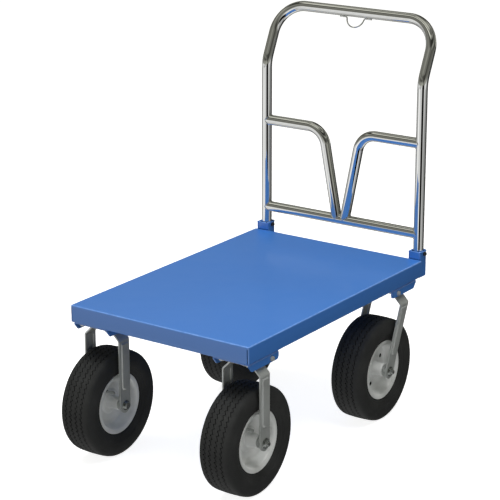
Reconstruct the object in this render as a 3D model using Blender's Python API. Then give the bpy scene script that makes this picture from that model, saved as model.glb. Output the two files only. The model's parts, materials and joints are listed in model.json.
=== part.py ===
"""Platform cart: sheet-steel pan deck, four 12 in pneumatic casters (rigid in front,
swivelling at the handle end) and a chrome tube handle that folds down over the deck.

Metres, +Z up. X runs across the cart, +Y points to the handle end, and Z = 0 is the floor.
The origin lies on the floor under the middle of the cart's overall length.
"""
import math

import bmesh
import bpy
from mathutils import Matrix, Vector

# ---------------------------------------------------------------- driving dimensions
GAP = 0.0003                      # clearance left between touching pieces

DECK_WIDTH = 0.6096               # 24 in
DECK_LENGTH = 0.9144              # 36 in
DECK_HEIGHT = 0.457               # floor to the top of the deck
DECK_SHEET = 0.0027               # 12 gauge
DECK_FLANGE = 0.052               # depth of the down-turned edge
DECK_LIP = 0.011                  # inward return at the flange's foot
DECK_BEND = 0.0045                # outside bend radius
CORNER_SEAM = 0.0014              # slit where two flanges meet at a corner

CROSS_MEMBER_WIDTH = 0.070
RIB_WIDTH = 0.060

TYRE_RADIUS = 0.157
TYRE_HALF_WIDTH = 0.053
WHEEL_SIDES = 20
RIM_RADIUS = 0.0900
RIM_HALF_WIDTH = 0.0418
RIM_SHEET = 0.0027
RIM_DISC_HALF = 0.0021            # two pressed halves back to back
HUB_RADIUS = 0.019
HUB_HALF_WIDTH = 0.045
HUB_BORE = 0.0105
AXLE_RADIUS = 0.00635             # 1/2 in
VALVE_CIRCLE = 0.0345
FRONT_VALVE_ANGLE = 110.0         # degrees from +Y towards +Z
REAR_VALVE_ANGLE = -12.0

TRACK_HALF = 0.2410               # centre plane of every wheel
FRONT_CASTER_Y = 0.0790           # from the deck's front edge
REAR_CASTER_Y = 0.8175            # kingpin, from the deck's front edge
SWIVEL_TRAIL = 0.082              # kingpin to axle, seen from the side

BRACKET_HALF_WIDTH = 0.0600
BRACKET_HALF_LENGTH = 0.0700
BRACKET_SHEET = 0.005
BRACKET_DEPTH = 0.025
BRACKET_BOLT_OFFSET = 0.036       # tie bolt, from the bracket's centre
BRACKET_BOLT_DROP = 0.067         # tie bolt, below the deck's top
BRACKET_BOLT_RADIUS = 0.004
BOLT_HEX = 0.0075                 # centre to corner of an 8 mm bolt's head and nut
BOLT_HEAD = 0.0055
BOLT_NUT = 0.0068
BOLT_TAIL = 0.0025                # thread standing out past the nut

PLATE_SHEET = 0.004
PLATE_HALF_WIDTH = 0.0525
PLATE_HALF_LENGTH = 0.0620
PLATE_BOLT_X = 0.0435
PLATE_BOLT_Y = 0.0500
PLATE_BOLT_RADIUS = 0.004

FORK_STRAP = 0.005
FORK_WIDTH = 0.045
FORK_HALF_SPAN = 0.0636           # wheel plane to a leg's outer face
RIGID_BEND_DROP = 0.103           # leg's upper bend, below the deck's top
SWIVEL_BEND_DROP = 0.108
SWIVEL_CROWN_DROP = 0.0722        # top of the swivel fork's crown, below the deck's top
KINGPIN_RADIUS = 0.008
RACE_RADIUS = 0.0295
RACE_BORE = 0.0120
KINGPIN_HEX = 0.0135
KINGPIN_NUT = 0.0085
KINGPIN_HEAD = 0.0072
AXLE_HEX = 0.0110
AXLE_HEAD = 0.0080
AXLE_NUT = 0.0090
AXLE_TAIL = 0.0030

HANDLE_TUBE = 0.015875            # radius of 1 1/4 in tube
HANDLE_WALL = 0.0020
TUBE_SIDES = 10
HANDLE_HALF_SPAN = 0.2777
HANDLE_SETBACK = 0.0225           # post axis behind the deck's rear edge
PIVOT_RISE = 0.0150               # pivot bolt above the deck's top
POST_FOOT_DROP = 0.0055           # tube's end below the pivot bolt, clear of the socket as it turns
POST_KINK_RISE = 0.5414           # corner where the posts lean back, above the deck's top
POST_LEAN = math.radians(25.0)
POST_LEAN_LENGTH = 0.1849         # kink corner to the top bar's axis
KINK_RADIUS = 0.100
TOP_CORNER_RADIUS = 0.092
LOW_BAR_RISE = 0.0736
BRACE_RISE = 0.3542
BRACE_CORNER_X = 0.0686           # where the brace's two straight runs would cross
BRACE_FOOT_X = 0.0140
BRACE_RADIUS = 0.0624
LOOP_WIRE = 0.0022
LOOP_RADIUS = 0.0300
LOOP_TAIL = 0.0260

SOCKET_SHEET = 0.0026
SOCKET_HALF_WIDTH = 0.0205
SOCKET_TOP_RISE = 0.0235
SOCKET_FOOT_DROP = 0.0560
SHOE_REAR = 0.0175                # pivot to the shoe's rear face and its round foot
PIVOT_BOLT_RADIUS = 0.004
PIVOT_NUT = 0.0040
KNOB_RADIUS = 0.0063
KNOB_HEIGHT = 0.0058

CUT_MARGIN = 0.0100               # how far a cutter runs past the face it opens
CROSS_CUT = 0.0800                # half length of a cutter that crosses a whole bracket or fork

# ---------------------------------------------------------------- derived places
AXLE_HEIGHT = TYRE_RADIUS
FRONT_REACH = FRONT_CASTER_Y - TYRE_RADIUS
POST_Y_FROM_EDGE = DECK_LENGTH + HANDLE_SETBACK
REAR_REACH = POST_Y_FROM_EDGE + POST_LEAN_LENGTH * math.sin(POST_LEAN) + HANDLE_TUBE
DECK_FRONT = -(FRONT_REACH + REAR_REACH) / 2
DECK_REAR = DECK_FRONT + DECK_LENGTH
DECK_MIDDLE = (DECK_FRONT + DECK_REAR) / 2
UNDER_SHEET = DECK_HEIGHT - DECK_SHEET
BRACKET_TOP = DECK_HEIGHT - DECK_FLANGE - GAP
WEB_UNDERSIDE = BRACKET_TOP - BRACKET_SHEET
PLATE_TOP = WEB_UNDERSIDE - GAP
PLATE_UNDERSIDE = PLATE_TOP - PLATE_SHEET
PIVOT_Y = DECK_REAR + HANDLE_SETBACK
PIVOT_Z = DECK_HEIGHT + PIVOT_RISE

SIDES = (("left", -1), ("right", 1))

COLOURS = {
    "blue_paint": ((0.045, 0.13, 0.42), 0.38, 0.0),
    "zinc": ((0.55, 0.56, 0.57), 0.35, 0.9),
    "chrome": ((0.82, 0.83, 0.85), 0.06, 1.0),
    "rubber": ((0.018, 0.018, 0.018), 0.75, 0.0),
    "rim_silver": ((0.55, 0.56, 0.56), 0.45, 0.3),
    "black_plastic": ((0.012, 0.012, 0.012), 0.45, 0.0),
    "butyl": ((0.04, 0.04, 0.045), 0.65, 0.0),
}


# ---------------------------------------------------------------- scene helpers
def clear_scene():
    for item in list(bpy.data.objects):
        bpy.data.objects.remove(item, do_unlink=True)


def material(name):
    if name in bpy.data.materials:
        return bpy.data.materials[name]
    colour, roughness, metallic = COLOURS[name]
    made = bpy.data.materials.new(name)
    made.use_nodes = True
    shader = made.node_tree.nodes["Principled BSDF"]
    shader.inputs["Base Color"].default_value = (*colour, 1.0)
    shader.inputs["Roughness"].default_value = roughness
    shader.inputs["Metallic"].default_value = metallic
    return made


def empty(name, location, parent=None):
    made = bpy.data.objects.new(name, None)
    made.location = location
    made.parent = parent
    bpy.context.scene.collection.objects.link(made)
    return made


def finish(mesh_data, name, finish_name, location=(0, 0, 0), parent=None):
    """Turn a bmesh into an object with outward faces and its own material slot."""
    bmesh.ops.recalc_face_normals(mesh_data, faces=mesh_data.faces)
    mesh = bpy.data.meshes.new(name)
    mesh_data.to_mesh(mesh)
    mesh_data.free()
    mesh.shade_smooth()
    mesh.set_sharp_from_angle(angle=math.radians(35))
    made = bpy.data.objects.new(name, mesh)
    made.location = location
    made.parent = parent
    if finish_name:
        mesh.materials.append(material(finish_name))
    bpy.context.scene.collection.objects.link(made)
    return made


def combine(target, other, operation):
    """Cut or join target with a helper object that the build leaves out."""
    other.hide_render = True
    other.display_type = "WIRE"
    modifier = target.modifiers.new(other.name, "BOOLEAN")
    modifier.operation = operation
    modifier.object = other
    return target


# ---------------------------------------------------------------- mesh makers
def loft(loops, cap_start=True, cap_end=True, closed=False):
    """Skin a stack of point loops of equal count; closed joins the last to the first."""
    made = bmesh.new()
    rows = [[made.verts.new(point) for point in loop] for loop in loops]
    pairs = list(zip(rows, rows[1:]))
    if closed:
        pairs.append((rows[-1], rows[0]))
    for low, high in pairs:
        count = len(low)
        for i in range(count):
            j = (i + 1) % count
            made.faces.new((low[i], low[j], high[j], high[i]))
    if cap_start and not closed:
        made.faces.new(rows[0])
    if cap_end and not closed:
        made.faces.new(rows[-1])
    return made


def turned(profile, sides, axis="X", closed=False):
    """Loops about an axis through the origin; a profile point is (along, radius[, 'hex'])."""
    loops = []
    step = 2 * math.pi / sides
    for along, radius, *kind in profile:
        loop = []
        for i in range(sides):
            angle = step * (i + 0.5)
            reach = radius
            if kind and sides == 12 and i % 2:
                reach = radius * math.cos(math.pi / 6)
            across, up = reach * math.cos(angle), reach * math.sin(angle)
            if axis == "X":
                loop.append(Vector((along, across, up)))
            else:
                loop.append(Vector((across, up, along)))
        loops.append(loop)
    return loft(loops, closed=closed)


def rod(name, axis, start, end, radius, location=(0, 0, 0), parent=None, sides=16):
    """A plain round helper, used as a cutter."""
    profile = [(start, radius), (end, radius)]
    return finish(turned(profile, sides, axis), name, None, location, parent)


def box(low, high):
    made = bmesh.new()
    size = [b - a for a, b in zip(low, high)]
    centre = [(a + b) / 2 for a, b in zip(low, high)]
    place = Matrix.Translation(centre) @ Matrix.Diagonal((*size, 1.0))
    bmesh.ops.create_cube(made, size=1.0, matrix=place)
    return made


def arc(centre, radius, start, end, steps):
    """Points (u, v) on an arc, angles in degrees."""
    points = []
    for i in range(steps + 1):
        angle = math.radians(start + (end - start) * i / steps)
        points.append((centre[0] + radius * math.cos(angle), centre[1] + radius * math.sin(angle)))
    return points


def rounded_rectangle(half_x, half_y, radius, steps=3):
    radius = max(radius, 0.0004)
    corners = ((1, 1, 0), (-1, 1, 90), (-1, -1, 180), (1, -1, 270))
    points = []
    for sign_x, sign_y, start in corners:
        centre = (sign_x * (half_x - radius), sign_y * (half_y - radius))
        points += arc(centre, radius, start, start + 90, steps)
    return points


def prism(outline, start, end, axis="X"):
    """Extrude an outline along X (outline in Y, Z) or along Z (outline in X, Y)."""
    loops = []
    for along in (start, end):
        if axis == "X":
            loops.append([Vector((along, u, v)) for u, v in outline])
        else:
            loops.append([Vector((u, v, along)) for u, v in outline])
    return loft(loops)


def fillet(points, radii, step_angle):
    """Round the inner corners of a 3-D polyline, with a point every step_angle degrees."""
    path = [Vector(points[0])]
    for before, corner, after, radius in zip(points, points[1:], points[2:], radii):
        corner = Vector(corner)
        back = (Vector(before) - corner).normalized()
        ahead = (Vector(after) - corner).normalized()
        half = back.angle(ahead) / 2
        centre = corner + (back + ahead).normalized() * radius / math.sin(half)
        first = corner + back * radius / math.tan(half) - centre
        last = corner + ahead * radius / math.tan(half) - centre
        normal = first.cross(last).normalized()
        sweep = first.angle(last)
        steps = max(2, round(math.degrees(sweep) / step_angle))
        for i in range(steps + 1):
            turn = Matrix.Rotation(sweep * i / steps, 3, normal)
            path.append(centre + turn @ first)
    path.append(Vector(points[-1]))
    return path


def tube(path, outer, inner, sides):
    """A pipe along a path; inner 0 makes a solid bar."""
    tangents = []
    for i in range(len(path)):
        ahead = path[min(i + 1, len(path) - 1)] - path[max(i - 1, 0)]
        tangents.append(ahead.normalized())
    rings = {outer: [], inner: []}
    side = tangents[0].orthogonal().normalized()
    for point, tangent in zip(path, tangents):
        side = (side - tangent * side.dot(tangent)).normalized()
        other = tangent.cross(side)
        for radius, stack in rings.items():
            ring = []
            for i in range(sides):
                angle = 2 * math.pi * (i + 0.5) / sides
                ring.append(point + side * math.cos(angle) * radius + other * math.sin(angle) * radius)
            stack.append(ring)
    if not inner:
        return loft(rings[outer])
    return loft(rings[outer] + rings[inner][::-1], closed=True)


# ---------------------------------------------------------------- deck
def make_deck():
    half_x, half_y = DECK_WIDTH / 2, DECK_LENGTH / 2
    outer_corner = 0.004
    section = [(DECK_BEND - u, v) for u, v in arc((0, -DECK_BEND), DECK_BEND, 90, 0, 3)]
    section.append((0.0, -DECK_FLANGE))
    section.append((DECK_LIP, -DECK_FLANGE))
    section.append((DECK_LIP, -DECK_FLANGE + DECK_SHEET))
    section.append((DECK_SHEET, -DECK_FLANGE + DECK_SHEET))
    section.append((DECK_SHEET, -DECK_BEND))
    section.append((DECK_BEND, -DECK_SHEET))
    loops = []
    for inset, level in section:
        outline = rounded_rectangle(half_x - inset, half_y - inset, outer_corner - inset)
        loops.append([Vector((x, y, level)) for x, y in outline])
    pan = finish(loft(loops), "deck_pan", "blue_paint", (0, DECK_MIDDLE, DECK_HEIGHT))
    for side, sign_x in SIDES:
        for end, sign_y in (("front", -1), ("rear", 1)):
            near = sign_x * (half_x - DECK_SHEET)
            far = near - sign_x * CORNER_SEAM
            face = sign_y * (half_y + DECK_SHEET)
            deep = sign_y * (half_y - DECK_SHEET - GAP)
            low = (min(near, far), min(face, deep), -DECK_FLANGE - DECK_LIP)
            high = (max(near, far), max(face, deep), -DECK_BEND - DECK_SHEET)
            slit = finish(box(low, high), f"seam_{end}_{side}", None, pan.location)
            combine(pan, slit, "DIFFERENCE")


def channel(name, low, high, along):
    """An inverted U in sheet steel whose web lies against the deck's underside."""
    made = finish(box(low, high), name, "blue_paint")
    inset = DECK_SHEET
    if along == "X":
        cut_low = (low[0] - CUT_MARGIN, low[1] + inset, low[2] - CUT_MARGIN)
        cut_high = (high[0] + CUT_MARGIN, high[1] - inset, high[2] - inset)
    else:
        cut_low = (low[0] + inset, low[1] - CUT_MARGIN, low[2] - CUT_MARGIN)
        cut_high = (high[0] - inset, high[1] + CUT_MARGIN, high[2] - inset)
    combine(made, finish(box(cut_low, cut_high), f"{name}_hollow", None), "DIFFERENCE")


def make_underframe():
    top = UNDER_SHEET - GAP
    foot = BRACKET_TOP + GAP
    reach = DECK_WIDTH / 2 - DECK_LIP - GAP
    half = CROSS_MEMBER_WIDTH / 2
    front_y = DECK_FRONT + FRONT_CASTER_Y
    rear_y = DECK_FRONT + REAR_CASTER_Y
    for name, y in (("front_cross_member", front_y), ("rear_cross_member", rear_y)):
        channel(name, (-reach, y - half, foot), (reach, y + half, top), "X")
    rib_low = (-RIB_WIDTH / 2, front_y + half + GAP, DECK_HEIGHT - 0.035)
    rib_high = (RIB_WIDTH / 2, rear_y - half - GAP, top)
    channel("centre_rib", rib_low, rib_high, "Y")


# ---------------------------------------------------------------- casters
def make_bracket(label, centre, inboard, swivel):
    """Inverted U bracket; inboard is +1 when its tie bolt end points to +Y."""
    half = BRACKET_HALF_LENGTH
    depth = BRACKET_DEPTH
    corner = 0.010
    chamfer = (0.0140, 0.0185)
    outline = [(-half, 0.0), (-half, -depth + chamfer[1]), (-half + chamfer[0], -depth)]
    outline += arc((half - corner, -depth + corner), corner, -90, 0, 3)
    outline.append((half, 0.0))
    outline = [(u * inboard, v) for u, v in outline]
    wide = BRACKET_HALF_WIDTH
    made = finish(prism(outline, -wide, wide), f"caster_bracket_{label}", "blue_paint", centre)
    inner = wide - BRACKET_SHEET
    reach = half + CUT_MARGIN
    low = (-inner, -reach, -depth - CUT_MARGIN)
    high = (inner, reach, -BRACKET_SHEET)
    combine(made, finish(box(low, high), f"bracket_hollow_{label}", None, centre), "DIFFERENCE")
    bolt_z = DECK_HEIGHT - BRACKET_BOLT_DROP - centre[2]
    at = Vector(centre) + Vector((0, inboard * BRACKET_BOLT_OFFSET, bolt_z))
    radius = BRACKET_BOLT_RADIUS + GAP
    hole = rod(f"bracket_hole_{label}", "X", -CROSS_CUT, CROSS_CUT, radius, at, sides=12)
    combine(made, hole, "DIFFERENCE")
    for i, (x, y) in enumerate(plate_bolt_places()):
        at = Vector(centre) + Vector((x, y, 0))
        radius = PLATE_BOLT_RADIUS + 3 * GAP
        hole = rod(f"web_hole_{label}_{i}", "Z", -CUT_MARGIN, CUT_MARGIN, radius, at, sides=8)
        combine(made, hole, "DIFFERENCE")
    if swivel:
        radius = KINGPIN_HEX + 0.0035
        opening = rod(f"web_opening_{label}", "Z", -CUT_MARGIN, CUT_MARGIN, radius, centre)
        combine(made, opening, "DIFFERENCE")


def plate_bolt_places():
    return [(sx * PLATE_BOLT_X, sy * PLATE_BOLT_Y) for sx in (-1, 1) for sy in (-1, 1)]


def make_tie_bolt(label, centre, inboard, outward):
    """Bolt across the bracket, its head on the cart's outer side."""
    ear = BRACKET_HALF_WIDTH + GAP
    nut_face = ear + BOLT_NUT
    shank = BRACKET_BOLT_RADIUS
    profile = [(-nut_face - BOLT_TAIL, shank), (-nut_face, shank), (-nut_face, BOLT_HEX, "hex")]
    profile += [(-ear, BOLT_HEX, "hex"), (-ear, shank), (ear, shank)]
    profile += [(ear, BOLT_HEX, "hex"), (ear + BOLT_HEAD, BOLT_HEX, "hex")]
    profile = [(x * outward, *rest) for x, *rest in profile]
    at = (centre[0], centre[1] + inboard * BRACKET_BOLT_OFFSET, DECK_HEIGHT - BRACKET_BOLT_DROP)
    finish(turned(profile, 12), f"bracket_bolt_{label}", "zinc", at)


def make_plate(label, centre, swivel):
    """Caster top plate with its four bolts, whose shanks pass up through the bracket."""
    outline = rounded_rectangle(PLATE_HALF_WIDTH, PLATE_HALF_LENGTH, 0.008, 2)
    plate = finish(prism(outline, -PLATE_SHEET, 0, "Z"), f"caster_plate_{label}", "zinc",
                   (centre[0], centre[1], PLATE_TOP))
    nut_top = BRACKET_TOP - PLATE_TOP + GAP
    shank = PLATE_BOLT_RADIUS
    profile = [(-PLATE_SHEET - BOLT_HEAD, BOLT_HEX, "hex"), (-PLATE_SHEET / 2, BOLT_HEX, "hex")]
    profile += [(-PLATE_SHEET / 2, shank), (nut_top, shank)]
    profile += [(nut_top, BOLT_HEX, "hex"), (nut_top + BOLT_NUT, BOLT_HEX, "hex")]
    for i, (x, y) in enumerate(plate_bolt_places()):
        at = plate.location + Vector((x, y, 0))
        bolt = finish(turned(profile, 6, "Z"), f"plate_bolt_{label}_{i}", "zinc", at)
        combine(plate, bolt, "UNION")
    if swivel:
        radius = KINGPIN_RADIUS + GAP
        bore = rod(f"plate_bore_{label}", "Z", -CUT_MARGIN, CUT_MARGIN, radius, plate.location)
        combine(plate, bore, "DIFFERENCE")


def strap(path, thickness):
    """A flat strap: each path point is (x, z, y centre, half width)."""
    loops = []
    for i, (x, z, y, half) in enumerate(path):
        before = path[max(i - 1, 0)]
        after = path[min(i + 1, len(path) - 1)]
        along = Vector((after[0] - x, after[1] - z)).normalized()
        along += Vector((x - before[0], z - before[1])).normalized()
        along.normalize()
        normal = Vector((-along.y, along.x)) * thickness / 2
        corners = ((1, -1), (1, 1), (-1, 1), (-1, -1))
        loop = [Vector((x + normal.x * s, y + half * e, z + normal.y * s)) for s, e in corners]
        loops.append(loop)
    return loft(loops)


def fork_path(crown_z, bend_z, axle_z, trail):
    """One strap from leg foot to leg foot over the wheel, about the caster's centre."""
    half = FORK_WIDTH / 2
    leg_x = FORK_HALF_SPAN - FORK_STRAP / 2
    shoulder_x = leg_x - (crown_z - bend_z)
    bends = fillet([(leg_x, 0, axle_z), (leg_x, 0, bend_z), (shoulder_x, 0, crown_z), (0, 0, crown_z)],
                   (0.010, 0.010), 20)
    leg = []
    for angle in (-86, -66, -46, -24):
        drop = half * math.sin(math.radians(angle))
        leg.append((leg_x, axle_z + drop, half * math.cos(math.radians(angle))))
    leg += [(point.x, point.z, half) for point in bends[:-1]]
    side = []
    for x, z, reach in leg:
        share = (bend_z - z) / (bend_z - axle_z)
        side.append((x, z, -trail * min(max(share, 0.0), 1.0), reach))
    return side + [(-x, z, y, reach) for x, z, y, reach in reversed(side)]


def make_fork(label, parent, crown_z, bend_z, axle_z, trail, bore):
    path = fork_path(crown_z, bend_z, axle_z, trail)
    fork = finish(strap(path, FORK_STRAP), f"fork_{label}", "zinc", parent=parent)
    hole = rod(f"fork_axle_hole_{label}", "X", -CROSS_CUT, CROSS_CUT, AXLE_RADIUS + GAP,
               (0, -trail, axle_z), parent, sides=12)
    combine(fork, hole, "DIFFERENCE")
    if bore:
        hole = rod(f"fork_bore_{label}", "Z", -CUT_MARGIN, CUT_MARGIN, KINGPIN_RADIUS + GAP,
                   (0, 0, crown_z), parent)
        combine(fork, hole, "DIFFERENCE")


def make_kingpin(label, centre):
    """Headed pin that hangs the swivel fork from the caster plate, with its nut below."""
    nut_top = DECK_HEIGHT - SWIVEL_CROWN_DROP - FORK_STRAP - GAP
    nut_foot = nut_top - KINGPIN_NUT
    head_foot = PLATE_TOP + GAP
    profile = [(nut_foot - BOLT_TAIL / 2, KINGPIN_RADIUS), (nut_foot, KINGPIN_RADIUS)]
    profile += [(nut_foot, KINGPIN_HEX, "hex"), (nut_top, KINGPIN_HEX, "hex")]
    profile += [(nut_top, KINGPIN_RADIUS), (head_foot, KINGPIN_RADIUS)]
    profile += [(head_foot, KINGPIN_HEX), (head_foot + KINGPIN_HEAD, KINGPIN_HEX)]
    finish(turned(profile, 12, "Z"), f"kingpin_{label}", "zinc", (centre[0], centre[1], 0))


def make_race(label, centre):
    """Ball race between the plate and the swivel crown."""
    low = DECK_HEIGHT - SWIVEL_CROWN_DROP + GAP
    high = PLATE_UNDERSIDE - GAP
    waist = (low + high) / 2
    profile = [(low, RACE_BORE), (low, RACE_RADIUS - 0.003), (waist, RACE_RADIUS)]
    profile += [(high, RACE_RADIUS - 0.002), (high, RACE_BORE)]
    ring = turned(profile, 16, "Z", closed=True)
    finish(ring, f"swivel_race_{label}", "zinc", (centre[0], centre[1], 0))


def make_axle(label, parent, outward):
    leg = FORK_HALF_SPAN + GAP
    nut_face = leg + AXLE_NUT
    profile = [(-nut_face - AXLE_TAIL, AXLE_RADIUS), (-nut_face, AXLE_RADIUS)]
    profile += [(-nut_face, AXLE_HEX, "hex"), (-leg, AXLE_HEX, "hex"), (-leg, AXLE_RADIUS)]
    profile += [(leg, AXLE_RADIUS), (leg, AXLE_HEX, "hex"), (leg + AXLE_HEAD, AXLE_HEX, "hex")]
    profile = [(-x * outward, *rest) for x, *rest in profile]
    finish(turned(profile, 12), f"axle_{label}", "zinc", parent=parent)
    reach = FORK_HALF_SPAN - FORK_STRAP - GAP
    inner, outer = AXLE_RADIUS + GAP, HUB_BORE - GAP
    sleeve = [(-reach, inner), (-reach, outer), (reach, outer), (reach, inner)]
    finish(turned(sleeve, 12, closed=True), f"bearing_sleeve_{label}", "zinc", parent=parent)


def mirrored(half):
    """Add a profile's other side, past the wheel's middle plane."""
    return half + [(-x, r) for x, r in reversed(half) if x]


def make_wheel(label, parent, valve_angle):
    """Tyre, inner tube, rim and valve stem, turning about X through the parent."""
    grow = 1 / math.cos(math.pi / WHEEL_SIDES)
    wide = TYRE_HALF_WIDTH
    seat = 0.0785
    outside = [(0.0, TYRE_RADIUS * grow), (0.038, (TYRE_RADIUS - 0.0020) * grow), (0.0475, 0.1485)]
    outside += [(wide, 0.1260), (0.0505, 0.1040), (0.0376, RIM_RADIUS + 0.0012), (0.0365, seat)]
    inside = [(0.0300, seat), (0.0440, 0.1120), (0.0380, 0.1420)]
    profile = mirrored(outside + inside)
    finish(turned(profile, WHEEL_SIDES, closed=True), f"tyre_{label}", "rubber", parent=parent)

    profile = mirrored([(0.0255, 0.0805), (0.0385, 0.1130), (0.0330, 0.1370)])
    finish(turned(profile, WHEEL_SIDES, closed=True), f"inner_tube_{label}", "butyl", parent=parent)

    lip = RIM_HALF_WIDTH
    well, bead = 0.0745, 0.0778
    rim = [(0.0, well), (0.0370, bead), (0.0381, RIM_RADIUS), (lip, RIM_RADIUS)]
    rim += [(lip - 0.001, bead - RIM_SHEET), (RIM_DISC_HALF, well - RIM_SHEET)]
    rim += [(RIM_DISC_HALF, HUB_RADIUS), (HUB_HALF_WIDTH, HUB_RADIUS), (HUB_HALF_WIDTH, HUB_BORE)]
    profile = mirrored(rim)
    finish(turned(profile, WHEEL_SIDES, closed=True), f"rim_{label}", "rim_silver", parent=parent)

    stem = [(RIM_DISC_HALF + GAP, 0.0042), (0.0180, 0.0036), (0.0330, 0.0030)]
    angle = math.radians(valve_angle)
    at = (0, VALVE_CIRCLE * math.cos(angle), VALVE_CIRCLE * math.sin(angle))
    finish(turned(stem, 8), f"valve_stem_{label}", "rubber", at, parent)


def make_casters():
    for side, sign in SIDES:
        x = sign * TRACK_HALF
        label = f"front_{side}"
        y = DECK_FRONT + FRONT_CASTER_Y
        make_bracket(label, (x, y, BRACKET_TOP), 1, False)
        make_tie_bolt(label, (x, y), 1, sign)
        make_plate(label, (x, y), False)
        mount = empty(f"caster_{label}", (x, y, 0))
        crown = PLATE_UNDERSIDE - GAP - FORK_STRAP / 2
        make_fork(label, mount, crown, DECK_HEIGHT - RIGID_BEND_DROP, AXLE_HEIGHT, 0.0, False)
        hub = empty(f"hub_{label}", (0, 0, AXLE_HEIGHT), mount)
        make_axle(label, hub, sign)
        make_wheel(label, hub, FRONT_VALVE_ANGLE)

        label = f"rear_{side}"
        y = DECK_FRONT + REAR_CASTER_Y
        make_bracket(label, (x, y, BRACKET_TOP), -1, True)
        make_tie_bolt(label, (x, y), -1, sign)
        make_plate(label, (x, y), True)
        make_kingpin(side, (x, y))
        make_race(side, (x, y))
        mount = empty(f"swivel_{side}", (x, y, 0))
        crown = DECK_HEIGHT - SWIVEL_CROWN_DROP - FORK_STRAP / 2
        bend = DECK_HEIGHT - SWIVEL_BEND_DROP
        make_fork(label, mount, crown, bend, AXLE_HEIGHT, SWIVEL_TRAIL, True)
        hub = empty(f"hub_{label}", (0, -SWIVEL_TRAIL, AXLE_HEIGHT), mount)
        make_axle(label, hub, sign)
        make_wheel(label, hub, REAR_VALVE_ANGLE)


# ---------------------------------------------------------------- handle
def rise(height):
    """Height above the deck's top, seen from the handle's pivot."""
    return height - PIVOT_RISE


def drill_for_pivot(target, at, parent=None):
    """Cross hole for the pivot bolt."""
    radius = PIVOT_BOLT_RADIUS + GAP
    hole = rod(f"{target.name}_pivot_hole", "X", -CROSS_CUT / 2, CROSS_CUT / 2, radius, at, parent, 12)
    combine(target, hole, "DIFFERENCE")


def chrome_tube(name, path, pivot):
    pipe = tube(path, HANDLE_TUBE, HANDLE_TUBE - HANDLE_WALL, TUBE_SIDES)
    return finish(pipe, name, "chrome", parent=pivot)


def make_handle_frame(pivot):
    lean = Vector((0, math.sin(POST_LEAN), math.cos(POST_LEAN))) * POST_LEAN_LENGTH
    kink = rise(POST_KINK_RISE)
    span = HANDLE_HALF_SPAN
    points = [(-span, 0, -POST_FOOT_DROP), (-span, 0, kink), (-span, lean.y, kink + lean.z)]
    points += [(-x, y, z) for x, y, z in reversed(points)]
    radii = (KINK_RADIUS, TOP_CORNER_RADIUS, TOP_CORNER_RADIUS, KINK_RADIUS)
    frame = chrome_tube("handle_frame", fillet(points, radii, 18), pivot)
    for _, sign in SIDES:
        drill_for_pivot(frame, (sign * span, 0, 0), pivot)
    make_hang_loop(pivot, Vector((0, lean.y, kink + lean.z)), -lean.normalized())


def make_hang_loop(pivot, bar, down):
    """Half ring of wire under the top bar, its two tails laid along the bar."""
    start = bar + down * (HANDLE_TUBE + LOOP_WIRE + GAP)
    across = Vector((1, 0, 0))
    path = [start - across * (LOOP_RADIUS + LOOP_TAIL)]
    for x, y in arc((0, 0), LOOP_RADIUS, 180, 360, 8):
        path.append(start + across * x - down * y)
    path.append(start + across * (LOOP_RADIUS + LOOP_TAIL))
    finish(tube(path, LOOP_WIRE, 0, 8), "hang_loop", "chrome", parent=pivot)


def make_cross_tubes(pivot):
    """Lower crossbar and two braces, coped to the posts, the crossbar and each other."""
    low_z = rise(LOW_BAR_RISE)
    brace_z = rise(BRACE_RISE)
    span = HANDLE_HALF_SPAN
    notch = HANDLE_TUBE + GAP
    margin = 2 * HANDLE_TUBE
    ends = [Vector((-span, 0, low_z)), Vector((span, 0, low_z))]
    low_bar = chrome_tube("lower_crossbar", ends, pivot)
    low_bar_cope = rod("low_bar_cope", "X", -CROSS_CUT, CROSS_CUT, notch, (0, 0, low_z), pivot, 24)
    for side, sign in SIDES:
        points = [(sign * span, 0, brace_z), (sign * BRACE_CORNER_X, 0, brace_z),
                  (sign * BRACE_FOOT_X, 0, low_z)]
        brace = chrome_tube(f"brace_{side}", fillet(points, (BRACE_RADIUS,), 16), pivot)
        post_cope = rod(f"post_cope_{side}", "Z", 0.0, POST_KINK_RISE, notch, (sign * span, 0, 0), pivot, 24)
        combine(low_bar, post_cope, "DIFFERENCE")
        combine(brace, post_cope, "DIFFERENCE")
        combine(brace, low_bar_cope, "DIFFERENCE")
        near, far = sorted((sign * GAP / 2, -sign * CROSS_CUT))
        half_space = box((near, -margin, low_z - margin), (far, margin, low_z + CROSS_CUT))
        combine(brace, finish(half_space, f"brace_parting_{side}", None, parent=pivot), "DIFFERENCE")


def make_shoe(side, sign, pivot):
    """Blue foot on a post: closed collar above, round heel about the pivot bolt."""
    half = SOCKET_HALF_WIDTH - SOCKET_SHEET - GAP
    top = SOCKET_TOP_RISE - PIVOT_RISE
    front = -HANDLE_SETBACK + GAP
    foot = -PIVOT_RISE + 2 * GAP
    outline = [(SHOE_REAR, top), (front, top), (front, foot)]
    heel_start = -90 - math.degrees(math.acos(-foot / SHOE_REAR))
    outline += arc((0, 0), SHOE_REAR, heel_start, 0, 6)
    at = (sign * HANDLE_HALF_SPAN, 0, 0)
    shoe = finish(prism(outline, -half, half), f"pivot_shoe_{side}", "blue_paint", at, pivot)
    bore = rod(f"shoe_bore_{side}", "Z", -POST_FOOT_DROP - GAP, 0.05, HANDLE_TUBE + GAP, at, pivot, 24)
    combine(shoe, bore, "DIFFERENCE")
    drill_for_pivot(shoe, at, pivot)


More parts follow.
